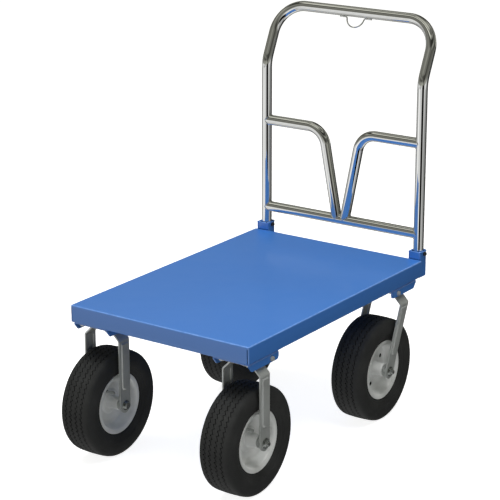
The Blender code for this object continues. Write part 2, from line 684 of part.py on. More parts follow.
def make_socket(side, sign):
    """Upright channel on the deck's rear flange: two cheeks and a rear web."""
    half = SOCKET_HALF_WIDTH
    rear = HANDLE_SETBACK + SHOE_REAR + GAP + SOCKET_SHEET
    radius = 0.005
    outline = [(-half, GAP), (half, GAP)]
    outline += arc((half - radius, rear - radius), radius, 0, 90, 3)
    outline += arc((-half + radius, rear - radius), radius, 90, 180, 3)
    low, high = -SOCKET_FOOT_DROP, SOCKET_TOP_RISE
    at = (sign * HANDLE_HALF_SPAN, DECK_REAR, DECK_HEIGHT)
    socket = finish(prism(outline, low, high, "Z"), f"handle_socket_{side}", "blue_paint", at)
    inner = half - SOCKET_SHEET
    hollow = box((-inner, -CUT_MARGIN, low - CUT_MARGIN), (inner, rear - SOCKET_SHEET, high + CUT_MARGIN))
    combine(socket, finish(hollow, f"socket_hollow_{side}", None, at), "DIFFERENCE")
    drill_for_pivot(socket, (at[0], PIVOT_Y, PIVOT_Z))


def make_pivot_bolt(side, sign):
    """Cross bolt with a domed black head on its +X end and a low nut on the other."""
    cheek = SOCKET_HALF_WIDTH + GAP
    shank = PIVOT_BOLT_RADIUS
    profile = [(-cheek - PIVOT_NUT, KNOB_RADIUS, "hex"), (-cheek, KNOB_RADIUS, "hex"), (-cheek, shank)]
    profile += [(cheek, shank), (cheek, KNOB_RADIUS)]
    profile += [(cheek + KNOB_HEIGHT * 0.45, KNOB_RADIUS * 0.96)]
    profile += [(cheek + KNOB_HEIGHT * 0.85, KNOB_RADIUS * 0.62), (cheek + KNOB_HEIGHT, KNOB_RADIUS * 0.25)]
    at = (sign * HANDLE_HALF_SPAN, PIVOT_Y, PIVOT_Z)
    finish(turned(profile, 12), f"pivot_bolt_{side}", "black_plastic", at)


def make_handle():
    pivot = empty("handle_pivot", (0, PIVOT_Y, PIVOT_Z))
    make_handle_frame(pivot)
    make_cross_tubes(pivot)
    for side, sign in SIDES:
        make_shoe(side, sign, pivot)
        make_socket(side, sign)
        make_pivot_bolt(side, sign)


def main():
    clear_scene()
    make_deck()
    make_underframe()
    make_casters()
    make_handle()


main()
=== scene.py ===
"""Looks of the folding platform cart: detailed pieces, materials, light and camera.

Metres, +Z up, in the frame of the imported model. Every piece stands for one CAD node or more
and rides on that node's body. Places come from the frame's boxes and joints.
"""
import json
from math import acos, cos, degrees, hypot, pi, radians, sin, sqrt, tan

import bmesh
import bpy
from mathutils import Matrix, Vector


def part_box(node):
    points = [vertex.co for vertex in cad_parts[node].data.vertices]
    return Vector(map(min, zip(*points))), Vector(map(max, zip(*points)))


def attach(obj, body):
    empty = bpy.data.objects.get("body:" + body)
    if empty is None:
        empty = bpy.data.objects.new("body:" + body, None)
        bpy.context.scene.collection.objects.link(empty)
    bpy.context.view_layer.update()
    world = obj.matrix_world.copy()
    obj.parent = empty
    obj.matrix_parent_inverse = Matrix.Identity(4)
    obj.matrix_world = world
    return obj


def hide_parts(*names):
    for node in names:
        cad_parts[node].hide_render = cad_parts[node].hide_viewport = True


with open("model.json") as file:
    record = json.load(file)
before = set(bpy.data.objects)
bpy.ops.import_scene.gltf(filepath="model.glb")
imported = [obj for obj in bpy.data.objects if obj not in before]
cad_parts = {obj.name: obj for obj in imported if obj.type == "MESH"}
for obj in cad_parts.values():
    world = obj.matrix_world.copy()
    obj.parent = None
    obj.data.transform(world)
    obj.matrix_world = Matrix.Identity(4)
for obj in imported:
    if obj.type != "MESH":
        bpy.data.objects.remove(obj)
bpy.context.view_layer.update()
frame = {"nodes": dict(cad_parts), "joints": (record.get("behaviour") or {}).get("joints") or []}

# -------- sizes
GAP = 0.0003  # between pieces that touch

DECK_SHEET = 0.0027
DECK_BEND = 0.0045
DECK_LIP = 0.0110
DECK_CORNER = 0.0040
CORNER_SEAM = 0.0028
BRACKET_SHEET = 0.0050
PLATE_SHEET = 0.0040
PLATE_BOLT_X = 0.0435  # from the plate's middle, as is the next one
PLATE_BOLT_Y = 0.0500

TUBE_RADIUS = 0.015875  # 1 1/4 in tube
TUBE_WALL = 0.0020
TUBE_SIDES = 64
POST_HALF_SPAN = 0.2777
POST_FOOT = -0.0055  # from the pivot
POST_KINK_RISE = 0.5414  # above the deck's top, as are the next two
LOW_BAR_RISE = 0.0736
BRACE_RISE = 0.3542
POST_LEAN = radians(25.0)
LEAN_LENGTH = 0.1849
KINK_RADIUS = 0.1000
TOP_CORNER_RADIUS = 0.0920
BRACE_CORNER_X = 0.0686
BRACE_FOOT_X = 0.0140
BRACE_RADIUS = 0.0624
WELD_BEAD = 0.0017
WELD_RIPPLE = 4  # points of a seam per ripple
LOOP_WIRE = 0.0022
LOOP_RADIUS = 0.0300
LOOP_TAIL = 0.0260
LOOP_TURN = 0.0050

SOCKET_SHEET = 0.0026
SOCKET_HALF_WIDTH = 0.0205
SOCKET_BEND = 0.0100
SOCKET_FOOT_BEND = 0.0080
LIP_RADIUS = 0.0016
LIP_SHIFT = 0.0009  # outwards from the middle of the sheet
LIP_DROP = 0.0018  # below the CAD's rim
SHOE_REAR = 0.0175  # from the pivot, as is the heel's radius
SHOE_REAR_BEND = 0.0085
SHOE_FRONT_BEND = 0.0035
SHOE_UNDER_BEND = 0.0045
SHOE_WALL = 0.0014  # rim round the recess in the collar's top

FORK_STRAP = 0.0050
FORK_HALF_WIDTH = 0.0225
FORK_BEND_RADIUS = 0.0100
FORK_EDGE = 0.0007  # rounding of the strap's long edges
FORK_EDGE_FROM = 0.955  # where it starts, as a share of the half width
RIGID_BEND_DROP = 0.1030  # leg's upper bend, below the deck's top
SWIVEL_BEND_DROP = 0.1080
PANEL_HALF_WIDTH = 0.0157  # raised panel pressed into each leg
PANEL_RAISE = 0.0042
PANEL_SLOPE = 0.0026
PANEL_FOOT = 0.0470  # above the axle

TYRE_RADIUS = 0.1570
TREAD_HALF_WIDTH = 0.0385
TREAD_DROP = 0.0016  # from the middle to the shoulders
TREAD_GROOVES = (-0.0270, -0.0095, 0.0095, 0.0270)
GROOVE_HALF_WIDTH = 0.0013
GROOVE_DEPTH = 0.0045
ZIGZAGS = 68
ZIGZAG_REACH = 0.0034
RIM_RADIUS = 0.0900
RIM_HALF_WIDTH = 0.0418
HUB_RADIUS = 0.0190
HUB_HALF_WIDTH = 0.0450
HUB_BORE = 0.0105
DISC_HOLES = {"front": (), "rear": (30.7, -102.4)}  # degrees from +Y towards +Z
DISC_HOLE_CIRCLE = 0.0497
DISC_HOLE_RADIUS = 0.0068
AXLE_RADIUS = 0.00635

ENDS = ("front", "rear")
SIDES = (("left", -1), ("right", 1))

deck_low, deck_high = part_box("deck_pan")
DECK_TOP = deck_high.z
DECK_REAR = deck_high.y
JOINTS = {joint["name"]: Vector(joint["pos_m"]) for joint in frame["joints"]}
PIVOT = JOINTS["handle_fold"]


# -------- materials
def shader(name, colour, roughness, metallic, **constants):
    made = bpy.data.materials.new(name)
    made.use_nodes = True
    tree = made.node_tree
    surface = tree.nodes["Principled BSDF"]
    surface.inputs["Base Color"].default_value = (*colour, 1)
    surface.inputs["Roughness"].default_value = roughness
    surface.inputs["Metallic"].default_value = metallic
    for socket, value in constants.items():
        surface.inputs[socket.replace("_", " ")].default_value = value
    place = tree.nodes.new("ShaderNodeTexCoord")
    return made, tree, surface, place.outputs["Object"]


def noise(tree, place, scale, detail=3.0, stretch=(1, 1, 1)):
    mapping = tree.nodes.new("ShaderNodeMapping")
    mapping.inputs["Scale"].default_value = stretch
    tree.links.new(place, mapping.inputs["Vector"])
    made = tree.nodes.new("ShaderNodeTexNoise")
    made.inputs["Scale"].default_value = scale
    made.inputs["Detail"].default_value = detail
    tree.links.new(mapping.outputs["Vector"], made.inputs["Vector"])
    return made.outputs["Fac"]


def remap(tree, value, low, high, to_low, to_high):
    made = tree.nodes.new("ShaderNodeMapRange")
    for i, number in enumerate((low, high, to_low, to_high), 1):
        made.inputs[i].default_value = number
    tree.links.new(value, made.inputs[0])
    return made.outputs[0]


def feed(tree, value, socket):
    """Set a socket to a number or a colour, or link another node's output to it."""
    if isinstance(value, float):
        socket.default_value = value
    elif isinstance(value, tuple):
        socket.default_value = (*value, 1)
    else:
        tree.links.new(value, socket)


def mix(tree, factor, first, second, blend="MIX"):
    made = tree.nodes.new("ShaderNodeMix")
    made.data_type = "RGBA"
    made.blend_type = blend
    for socket, value in ((0, factor), (6, first), (7, second)):
        feed(tree, value, made.inputs[socket])
    return made.outputs[2]


def tint(tree, first, second):
    return mix(tree, 1.0, first, second, "MULTIPLY")


def calculate(tree, operation, first, second):
    made = tree.nodes.new("ShaderNodeMath")
    made.operation = operation
    feed(tree, first, made.inputs[0])
    feed(tree, second, made.inputs[1])
    return made.outputs[0]


def dress(tree, surface, colour, roughness, height, strength, distance):
    """Link a surface's colour and roughness, and bump it by a height."""
    bump = tree.nodes.new("ShaderNodeBump")
    bump.inputs["Strength"].default_value = strength
    bump.inputs["Distance"].default_value = distance
    tree.links.new(height, bump.inputs["Height"])
    tree.links.new(bump.outputs["Normal"], surface.inputs["Normal"])
    tree.links.new(colour, surface.inputs["Base Color"])
    tree.links.new(roughness, surface.inputs["Roughness"])


def split_xyz(tree, vector):
    split = tree.nodes.new("ShaderNodeSeparateXYZ")
    tree.links.new(vector, split.inputs[0])
    return split.outputs


def bends(tree):
    """Painted highlight mask: 1 on the bends and rounded edges of upright sheets, 0 on flats and
    undersides.
    """
    normal = tree.nodes.new("ShaderNodeTexCoord").outputs["Normal"]
    size = tree.nodes.new("ShaderNodeVectorMath")
    size.operation = "ABSOLUTE"
    tree.links.new(normal, size.inputs[0])
    largest, *others = split_xyz(tree, size.outputs[0])
    for other in others:
        largest = calculate(tree, "MAXIMUM", largest, other)
    rounded = remap(tree, largest, 0.99, 0.86, 0.0, 1.0)
    upward = remap(tree, split_xyz(tree, normal)["Z"], -0.20, -0.05, 0.0, 1.0)
    return calculate(tree, "MULTIPLY", rounded, upward)


def blue_paint():
    made, tree, surface, place = shader("blue_paint_finish", (0.052, 0.200, 0.60), 0.32, 0.0,
                                        Specular_IOR_Level=0.75, Coat_Weight=0.25, Coat_Roughness=0.14)
    base = mix(tree, noise(tree, place, 3.0, 4.0), (0.047, 0.195, 0.605), (0.053, 0.210, 0.635))
    patches = remap(tree, noise(tree, place, 60.0), 0.3, 0.7, 0.45, 0.95)
    # Painted highlight: the bends and rounded edges go lighter, towards a pale blue, in noisy patches.
    edge_wear_and_highlight = calculate(tree, "MULTIPLY", bends(tree), patches)
    colour = mix(tree, edge_wear_and_highlight, base, (0.22, 0.42, 0.90))
    scuffs = remap(tree, noise(tree, place, 9.0, 2.0), 0.3, 0.75, 0.28, 0.35)
    dress(tree, surface, colour, scuffs, noise(tree, place, 950.0, 2.0), 0.03, 0.0003)
    return made


def zinc(name="zinc_finish", tone=1.0, metallic=0.45):
    grey = tuple(tone * level for level in (0.60, 0.625, 0.61))
    dull = tuple(0.82 * level for level in grey)
    made, tree, surface, place = shader(name, grey, 0.36, metallic)
    cloud = remap(tree, noise(tree, place, 22.0, 5.0), 0.3, 0.7, 0.0, 1.0)
    grain = noise(tree, place, 420.0, 3.0, (1.0, 1.0, 0.05))
    shine = 0.25 * metallic
    brushed = remap(tree, grain, 0.25, 0.75, 0.42 - shine, 0.58 - shine)
    dress(tree, surface, mix(tree, cloud, dull, grey), brushed, grain, 0.10, 0.0003)
    return made


def chrome():
    made, tree, surface, place = shader("chrome_finish", (0.76, 0.765, 0.75), 0.04, 1.0)
    colour = mix(tree, noise(tree, place, 6.0), (0.73, 0.735, 0.72), (0.79, 0.795, 0.78))
    smears = noise(tree, place, 14.0, 6.0, (1.0, 1.0, 0.25))
    smears = remap(tree, smears, 0.35, 0.8, 0.03, 0.075)
    dress(tree, surface, colour, smears, noise(tree, place, 240.0, 2.0), 0.010, 0.0002)
    return made


def rim_silver():
    made, tree, surface, place = shader("rim_silver_finish", (0.84, 0.85, 0.84), 0.32, 0.10)
    cloud = remap(tree, noise(tree, place, 30.0, 5.0), 0.35, 0.7, 0.0, 1.0)
    base = mix(tree, cloud, (0.82, 0.84, 0.83), (0.90, 0.91, 0.90))
    corners = tree.nodes.new("ShaderNodeNewGeometry").outputs["Pointiness"]
    corners = remap(tree, corners, 0.56, 0.64, 0.0, 1.0)
    patches = remap(tree, noise(tree, place, 120.0), 0.4, 0.7, 0.0, 0.4)
    # On the rim this is wear: the sharp convex edges go darker in patches.
    edge_wear_and_highlight = calculate(tree, "MULTIPLY", corners, patches)
    colour = mix(tree, edge_wear_and_highlight, base, (0.55, 0.55, 0.54))
    dull = remap(tree, cloud, 0.0, 1.0, 0.28, 0.42)
    dress(tree, surface, colour, dull, noise(tree, place, 700.0, 2.0), 0.06, 0.0003)
    return made


def rubber(name="tyre_finish", dusty=1.0):
    made, tree, surface, place = shader(name, (0.020, 0.021, 0.021), 0.72, 0.0, Specular_IOR_Level=0.22)
    dust = remap(tree, noise(tree, place, 16.0, 6.0), 0.42, 0.75, 0.0, 0.35 * dusty)
    colour = mix(tree, dust, (0.030, 0.031, 0.031), (0.066, 0.067, 0.066))
    fine = noise(tree, place, 380.0, 4.0)
    dress(tree, surface, colour, remap(tree, fine, 0.3, 0.7, 0.58, 0.80), fine, 0.18, 0.0004)
    return made


def black_plastic():
    made, tree, surface, place = shader("black_plastic_finish", (0.013, 0.013, 0.014), 0.38, 0.0)
    cloud = noise(tree, place, 300.0, 3.0)
    colour = mix(tree, cloud, (0.010, 0.010, 0.011), (0.020, 0.020, 0.021))
    dress(tree, surface, colour, remap(tree, cloud, 0.3, 0.7, 0.30, 0.46), cloud, 0.08, 0.0003)
    return made


FINISH = {
    "blue_paint": blue_paint(),
    "zinc_plate": zinc(),
    "fastener": zinc("fastener_finish", 0.85, 0.95),
    "chrome_tube": chrome(),
    "rim_silver": rim_silver(),
    "tyre_rubber": rubber(),
    "black_plastic": black_plastic(),
    "butyl": rubber("butyl_finish", 0.4),
}


# -------- mesh makers
def loft(loops, closed=False):
    made = bmesh.new()
    rows = [[made.verts.new(point) for point in loop] for loop in loops]
    pairs = list(zip(rows, rows[1:]))
    if closed:
        pairs.append((rows[-1], rows[0]))
    for low, high in pairs:
        for i in range(len(low)):
            j = (i + 1) % len(low)
            made.faces.new((low[i], low[j], high[j], high[i]))
    if not closed:
        made.faces.new(rows[0])
        made.faces.new(rows[-1])
    return made


def piece(name, made, slot, body=None, nodes=(), place=(0, 0, 0), sharp=35):
    """Turn a bmesh into a finished piece; nodes are the CAD nodes it stands for. Fasteners get a
    shinier zinc finish of their own."""
    bmesh.ops.recalc_face_normals(made, faces=made.faces)
    mesh = bpy.data.meshes.new(name)
    made.to_mesh(mesh)
    made.free()
    mesh.shade_smooth()
    mesh.set_sharp_from_angle(angle=radians(sharp))
    mesh.materials.append(FINISH[slot])
    return settle(name, mesh, body, nodes, place)


def show(name, data):
    """A new object in the scene."""
    made = bpy.data.objects.new(name, data)
    bpy.context.scene.collection.objects.link(made)
    return made


def settle(name, mesh, body, nodes, place):
    made = show(name, mesh)
    made.location = place
    if body:
        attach(made, body)
        if nodes:
            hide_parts(*nodes)
    return made


def cut(target, made, operation="DIFFERENCE"):
    """Cut target with a bmesh in the target's own coordinates, and leave no helper behind."""
    helper = piece("helper", made, "zinc_plate", place=target.location)
    modifier = target.modifiers.new("cut", "BOOLEAN")
    modifier.operation = operation
    modifier.object = helper
    bpy.context.view_layer.update()
    graph = bpy.context.evaluated_depsgraph_get()
    result = bpy.data.meshes.new_from_object(target.evaluated_get(graph))
    target.modifiers.clear()
    target.data = result
    bpy.data.objects.remove(helper)
    result.shade_smooth()
    result.set_sharp_from_angle(angle=radians(35))


def soften(target, width, segments=2):
    modifier = target.modifiers.new("edges", "BEVEL")
    modifier.width = width
    modifier.segments = segments
    modifier.limit_method = "ANGLE"
    modifier.angle_limit = radians(40)
    modifier.harden_normals = True


def arc(centre, radius, start, end, steps):
    points = []
    for i in range(steps + 1):
        angle = radians(start + (end - start) * i / steps)
        points.append((centre[0] + radius * cos(angle), centre[1] + radius * sin(angle)))
    return points


def rounded_rectangle(half_x, half_y, radius, steps=6):
    points = []
    for sign_x, sign_y, start in ((1, 1, 0), (-1, 1, 90), (-1, -1, 180), (1, -1, 270)):
        centre = (sign_x * (half_x - radius), sign_y * (half_y - radius))
        points += arc(centre, radius, start, start + 90, steps)
    return points


def prism(outline, start, end, axis):
    """A straight solid along an axis, from an outline in the other two coordinates."""
    spot = "XYZ".index(axis)
    loops = []
    for along in (start, end):
        loops.append([(*point[:spot], along, *point[spot:]) for point in outline])
    return loft(loops)


def hex_reach(radius, angle):
    """Distance from the middle to the side of a hexagon with that corner radius."""
    turn = radians(degrees(angle) % 60 - 30)
    return radius * cos(pi / 6) / cos(turn)


def lathe(profile, sides, axis="X", closed=False):
    """Turn (along, radius) points; a third value makes a hexagon, +1 or -1 with a chamfered face
    towards + or -, and 0 with a plain one."""
    loops = []
    for along, radius, *kind in profile:
        loop = []
        for i in range(sides):
            angle = 2 * pi * i / sides
            reach, shift = radius, 0.0
            if kind:
                reach = hex_reach(radius, angle)
                shift = -kind[0] * (reach - radius * cos(pi / 6)) * tan(radians(30))
            across, up = reach * cos(angle), reach * sin(angle)
            if axis == "X":
                loop.append((along + shift, across, up))
            else:
                loop.append((across, up, along + shift))
        loops.append(loop)
    return loft(loops, closed)


def thread(start, end, radius, pitch=0.00125):
    """Profile points of a threaded stretch."""
    count = max(1, round((end - start) / pitch))
    step = (end - start) / count
    points = []
    for i in range(count):
        points += [(start + step * (i + 0.15), radius - 0.35 * pitch), (start + step * (i + 0.6), radius)]
    return points


def hexagon(start, end, corner):
    """Profile of a chamfered nut or head, from one face to the other."""
    face = 0.95 * corner * cos(pi / 6)
    return [(start, face), (start + 0.0001, corner, -1), (end - 0.0001, corner, 1), (end, face)]


def facing(profile, outward):
    """A profile turned to face outwards on the left (-1) or the right (+1)."""
    return [(x * outward, r, *[k * outward for k in kind]) for x, r, *kind in profile]


def rounding(past, radius):
    """Depth of a rounded edge, at a distance past the start of its curve."""
    return radius - sqrt(max(radius ** 2 - max(past, 0.0) ** 2, 0.0))


def join(parts):
    """One bmesh out of several."""
    whole = bmesh.new()
    for made in parts:
        mesh = bpy.data.meshes.new("part")
        made.to_mesh(mesh)
        made.free()
        whole.from_mesh(mesh)
        bpy.data.meshes.remove(mesh)
    return whole


def fillet(points, radii, step_angle=3):
    path = [Vector(points[0])]
    for before, corner, after, radius in zip(points, points[1:], points[2:], radii):
        corner = Vector(corner)
        back = (Vector(before) - corner).normalized()
        ahead = (Vector(after) - corner).normalized()
        half = back.angle(ahead) / 2
        centre = corner + (back + ahead).normalized() * radius / sin(half)
        first = corner + back * radius / tan(half) - centre
        last = corner + ahead * radius / tan(half) - centre
        normal = first.cross(last).normalized()
        sweep = first.angle(last)
        steps = max(2, round(degrees(sweep) / step_angle))
        path += [centre + Matrix.Rotation(sweep * i / steps, 3, normal) @ first for i in range(steps + 1)]
    path.append(Vector(points[-1]))
    return path


def sweep_rings(path, radius, sides):
    """Rings of points square to a path, one per path point."""
    tangents = []
    for i in range(len(path)):
        ahead = path[min(i + 1, len(path) - 1)] - path[max(i - 1, 0)]
        tangents.append(ahead.normalized())
    side = tangents[0].orthogonal().normalized()
    rings = []
    for point, tangent in zip(path, tangents):
        side = (side - tangent * side.dot(tangent)).normalized()
        other = tangent.cross(side)
        turns = [2 * pi * i / sides for i in range(sides)]
        rings.append([point + (side * cos(a) + other * sin(a)) * radius for a in turns])
    return rings, tangents


def wire(path, radius):
    return loft(sweep_rings(path, radius, 16)[0])


def slide(ring, along, centre, axis, radius):
    """Move a ring's points along a direction until they lie on a cylinder."""
    across = along - axis * along.dot(axis)
    moved = []
    for point in ring:
        offset = point - centre
        offset = offset - axis * offset.dot(axis)
        a, b = across.length_squared, 2 * offset.dot(across)
        c = offset.length_squared - radius * radius
        reach = (-b - sqrt(max(b * b - 4 * a * c, 0.0))) / (2 * a)
        moved.append(point + along * reach)
    return moved


def pipe(path, copes=(None, None), keep=None):
    """A tube whose ends are cut to fit other tubes. A cope is (centre, axis) of the other tube,
    and keep moves any point of the rings that it is given. Returns the bmesh and the end rings."""
    shells = []
    for radius in (TUBE_RADIUS, TUBE_RADIUS - TUBE_WALL):
        rings, tangents = sweep_rings(path, radius, TUBE_SIDES)
        for end, cope in zip((0, -1), copes):
            if cope:
                out = -tangents[0] if end == 0 else tangents[-1]
                rings[end] = slide(rings[end], out, cope[0], cope[1], TUBE_RADIUS + GAP)
        if keep:
            rings = [[keep(point) for point in ring] for ring in rings]
        shells.append(rings)
    return loft(shells[0] + shells[1][::-1], closed=True), (shells[0][0], shells[0][-1])


def weld(ring):
    """A rippled bead along a closed line of points round a tube's end."""
    middle = sum(ring, Vector()) / len(ring)
    count = len(ring)
    loops = []
    for i, point in enumerate(ring):
        along = (ring[(i + 1) % count] - ring[i - 1]).normalized()
        out = point - middle
        out = (out - along * out.dot(along)).normalized()
        side = along.cross(out)
        swell = WELD_BEAD * (1 + 0.16 * cos(2 * pi * i / WELD_RIPPLE))
        turns = [2 * pi * k / 8 for k in range(8)]
        loops.append([point + (out * cos(a) + side * sin(a)) * swell for a in turns])
    return loft(loops, closed=True)


def sheet_outline(points, radius, thickness):
    """Outline of a bent sheet from the line down the middle of its thickness."""
    path = fillet([(u, v, 0) for u, v in points], [radius] * (len(points) - 2), 9)
    near, far = [], []
    for i, point in enumerate(path):
        along = (path[min(i + 1, len(path) - 1)] - path[max(i - 1, 0)]).normalized()
        normal = Vector((-along.y, along.x, 0)) * thickness / 2
        near.append((point.x + normal.x, point.y + normal.y))
        far.append((point.x - normal.x, point.y - normal.y))
    return near + far[::-1]


# -------- deck
def make_deck():
    centre = (deck_low + deck_high) / 2
    half_x, half_y = (deck_high.x - deck_low.x) / 2, (deck_high.y - deck_low.y) / 2
    depth = deck_high.z - deck_low.z
    inner = DECK_BEND - DECK_SHEET
    section = arc((DECK_BEND, -DECK_BEND), DECK_BEND, 90, 180, 8)
    section += arc((DECK_BEND, -depth + DECK_BEND), DECK_BEND, 180, 270, 5)
    section += arc((DECK_LIP - 0.0006, -depth + DECK_SHEET / 2), DECK_SHEET / 2, -90, 90, 5)
    section += arc((DECK_BEND, -depth + DECK_BEND), inner, 270, 180, 3)
    section += arc((DECK_BEND, -DECK_BEND), inner, 180, 90, 4)
    loops = []
    for inset, level in section:
        radius = max(DECK_CORNER - inset, 0.0004) + 0.0006
        outline = rounded_rectangle(half_x - inset, half_y - inset, radius)
        loops.append([(x, y, level) for x, y in outline])
    pan = piece("deck_sheet", loft(loops), "blue_paint", "deck", ["deck_pan"],
                (centre.x, centre.y, DECK_TOP))
    for _, sign_x in SIDES:
        for sign_y in (-1, 1):
            middle = sign_x * (half_x - DECK_SHEET - CORNER_SEAM / 2)
            left, right = middle - CORNER_SEAM / 2, middle + CORNER_SEAM / 2
            face, deep = sign_y * (half_y + DECK_SHEET), sign_y * (half_y - DECK_SHEET - GAP)
            seam = [(left, face), (right, face), (right, deep), (left, deep)]
            cut(pan, prism(seam, -depth - DECK_LIP, -DECK_BEND - DECK_SHEET, "Z"))


def make_channels():
    """Cross members and rib: inverted U sheets with rounded bends, welded inside the pan."""
    for node, axis in (("front_cross_member", "X"), ("rear_cross_member", "X"), ("centre_rib", "Y")):
        low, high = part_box(node)
        across, along = (1, 0) if axis == "X" else (0, 1)
        middle = (low[across] + high[across]) / 2
        half = (high[across] - low[across] - DECK_SHEET) / 2
        top = high.z - DECK_SHEET / 2
        left, right = middle - half, middle + half
        line = [(left, low.z), (left, top), (right, top), (right, low.z)]
        made = prism(sheet_outline(line, 0.0035, DECK_SHEET), low[along], high[along], axis)
        channel = piece(f"{node}_sheet", made, "blue_paint", "deck", [node])
        soften(channel, 0.0004)


# -------- casters
def make_bracket(label):
    node = f"caster_bracket_{label}"
    low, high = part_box(node)
    centre = (low + high) / 2
    half_x, half_y, depth = (high.x - low.x) / 2, (high.y - low.y) / 2, high.z - low.z
    inboard = 1 if label.startswith("front") else -1
    right, top, foot = half_x - BRACKET_SHEET / 2, -BRACKET_SHEET / 2, -depth - 0.005
    line = [(-right, foot), (-right, top), (right, top), (right, foot)]
    made = prism(sheet_outline(line, 0.0045, BRACKET_SHEET), -half_y, half_y, "Y")
    place = (centre.x, centre.y, high.z)
    bracket = piece(f"{node}_sheet", made, "blue_paint", "deck", [node], place)
    corner = 0.0100
    side = [(-half_y - 0.001, 0.001), (-half_y - 0.001, -0.0065)]
    side += [(-half_y + 0.0130, -depth + 0.0012), (-half_y + 0.0150, -depth)]
    side += arc((half_y - corner, -depth + corner), corner, -90, 0, 8)
    side += [(half_y + 0.0001, 0.001)]
    side = [(u * inboard, v) for u, v in side]
    cut(bracket, prism(side, -half_x - 0.01, half_x + 0.01, "X"), "INTERSECT")
    if label.startswith("rear"):
        cut(bracket, lathe([(-0.02, 0.017), (0.01, 0.017)], 40, "Z"))
    soften(bracket, 0.0005)


def make_plate(label):
    node = f"caster_plate_{label}"
    low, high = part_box(node)
    bracket_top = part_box(f"caster_bracket_{label}")[1].z
    top = bracket_top - BRACKET_SHEET - GAP
    centre = (low + high) / 2
    outline = rounded_rectangle((high.x - low.x) / 2, (high.y - low.y) / 2, 0.0080)
    plate = piece(f"{node}_steel", prism(outline, -PLATE_SHEET, 0, "Z"), "zinc_plate", "deck", [node],
                  (centre.x, centre.y, top))
    soften(plate, 0.0005)
    shank, corner, washer = 0.0040, 0.0075, 0.0088
    foot, web = -PLATE_SHEET - GAP, bracket_top - top + GAP
    profile = [(foot - 0.0052, 0.0060)] + hexagon(foot - 0.0052, foot - 0.0009, corner)
    profile += [(foot - 0.0009, washer), (foot, washer), (foot, shank), (web, shank), (web, washer)]
    profile += [(web + 0.0012, washer)] + hexagon(web + 0.0012, web + 0.0066, corner)
    profile += [(web + 0.0066, shank)] + thread(web + 0.0066, web + 0.0070, shank)
    parts = []
    for x in (-PLATE_BOLT_X, PLATE_BOLT_X):
        for y in (-PLATE_BOLT_Y, PLATE_BOLT_Y):
            made = lathe(profile, 24, "Z")
            bmesh.ops.translate(made, verts=made.verts, vec=(x, y, 0))
            parts.append(made)
    piece(f"{node}_bolts", join(parts), "fastener", "deck", [], (centre.x, centre.y, top), 28)


def make_tie_bolt(label, outward):
    node = f"bracket_bolt_{label}"
    low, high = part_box(node)
    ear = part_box(f"caster_bracket_{label}")
    half = (ear[1].x - ear[0].x) / 2 + GAP
    centre = Vector(((ear[0].x + ear[1].x) / 2, (low.y + high.y) / 2, (low.z + high.z) / 2))
    shank, corner, washer = 0.0040, 0.0066, 0.0074
    profile = [(-half - 0.0093, 0.0030)] + thread(-half - 0.0090, -half - 0.0068, shank)
    profile += hexagon(-half - 0.0068, -half - 0.0012, corner)
    profile += [(-half - 0.0012, washer), (-half, washer), (-half, shank), (half, shank), (half, washer)]
    profile += [(half + 0.0012, washer)] + hexagon(half + 0.0012, half + 0.0060, corner)
    made = lathe(facing(profile, outward), 24)
    piece(f"{node}_steel", made, "zinc_plate", "deck", [node], centre, 28)


def panel_height(along, across, length):
    """Height of the pressed panel: 1 inside a slot shape and 0 outside, with a sloped edge."""
    radius = PANEL_HALF_WIDTH
    square = 0.0030  # corner radius of the slot's upper end
    if along < length - radius:
        edge_u = max(square - along, 0.0)
        edge_v = max(abs(across) - (radius - square), 0.0)
        outside = hypot(edge_u, edge_v) - square
    else:
        outside = hypot(along - (length - radius), across) - radius
    share = min(max(-outside / PANEL_SLOPE, 0.0), 1.0)
    return share * share * (3 - 2 * share)


def leg_levels(axle_z, panel_foot, panel_top):
    """Heights of a leg's rows, closest at its round foot and at the panel's two ends."""
    levels = [axle_z - FORK_HALF_WIDTH * sin(radians(a)) for a in (88, 80, 70, 58, 44, 30, 15)]
    levels += [axle_z + 0.0075 * i for i in range(6)]
    levels += [panel_foot + 0.0008 * i for i in range(-1, 22)]
    plain = panel_top - 0.0060 - (panel_foot + 0.0200)
    levels += [panel_foot + 0.0200 + plain * i / 12 for i in range(13)]
    return levels + [panel_top - 0.0055 + 0.0005 * i for i in range(13)]


